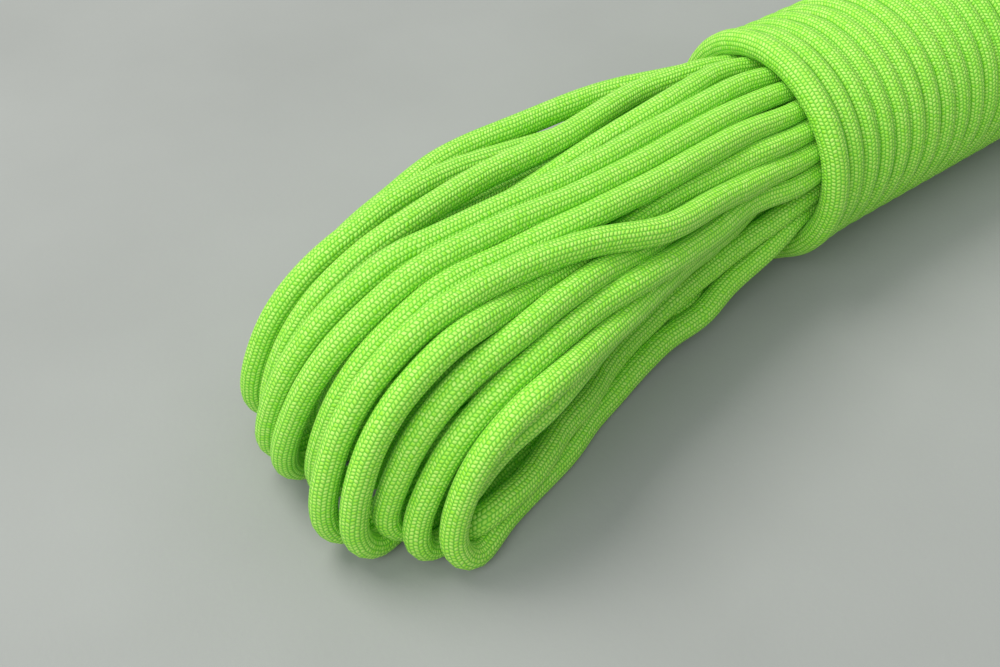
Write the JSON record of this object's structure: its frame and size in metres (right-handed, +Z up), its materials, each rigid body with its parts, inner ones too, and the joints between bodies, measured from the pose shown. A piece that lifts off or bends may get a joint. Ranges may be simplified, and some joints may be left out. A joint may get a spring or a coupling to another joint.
{
  "type": "hanked accessory cord",
  "caption": "Hank of bright green braided cord, folded into laps that fan out in a loop at each end, with a tight coil of the same cord wound round its middle.",
  "frame": {"origin": "middle of the hank's length and width, on the surface that it lies on", "axes": "+X along the hank from the near loops towards the far loops, +Z up"},
  "size_m": [0.2808, 0.071, 0.0397],
  "materials": {
    "cord": "neon lime braided nylon sheath with a herringbone weave and a soft sheen",
    "core": "white twisted nylon core strand",
    "tip": "cord end melted to a smooth dark green bead"
  },
  "bodies": {
    "root": {"wrap_coil": "cord", "hank_middle": "cord", "near_loop_01": "cord", "near_loop_02": "cord", "near_loop_03": "cord", "near_loop_04": "cord", "near_loop_05": "cord", "near_loop_06": "cord", "near_loop_07": "cord", "near_loop_08": "cord", "near_loop_09": "cord", "near_loop_10": "cord", "far_loop_01": "cord", "far_loop_02": "cord", "far_loop_03": "cord", "far_loop_04": "cord", "far_loop_05": "cord", "far_loop_06": "cord", "far_loop_07": "cord", "far_loop_08": "cord", "far_loop_09": "cord", "far_loop_10": "cord", "near_inner_lap_1": "cord", "near_inner_lap_2": "cord", "near_inner_lap_3": "cord", "far_inner_lap_1": "cord", "far_inner_lap_2": "cord", "far_inner_lap_3": "cord", "inner_end_sheath": "cord", "inner_end_strand_1": "core", "inner_end_strand_2": "core", "inner_end_strand_3": "core", "inner_end_strand_4": "core", "inner_end_strand_5": "core", "inner_end_strand_6": "core", "inner_end_strand_7": "core", "inner_end_tip": "tip", "outer_end_sheath": "cord", "outer_end_strand_1": "core", "outer_end_strand_2": "core", "outer_end_strand_3": "core", "outer_end_strand_4": "core", "outer_end_strand_5": "core", "outer_end_strand_6": "core", "outer_end_strand_7": "core", "outer_end_tip": "tip"}
  },
  "joints": []
}
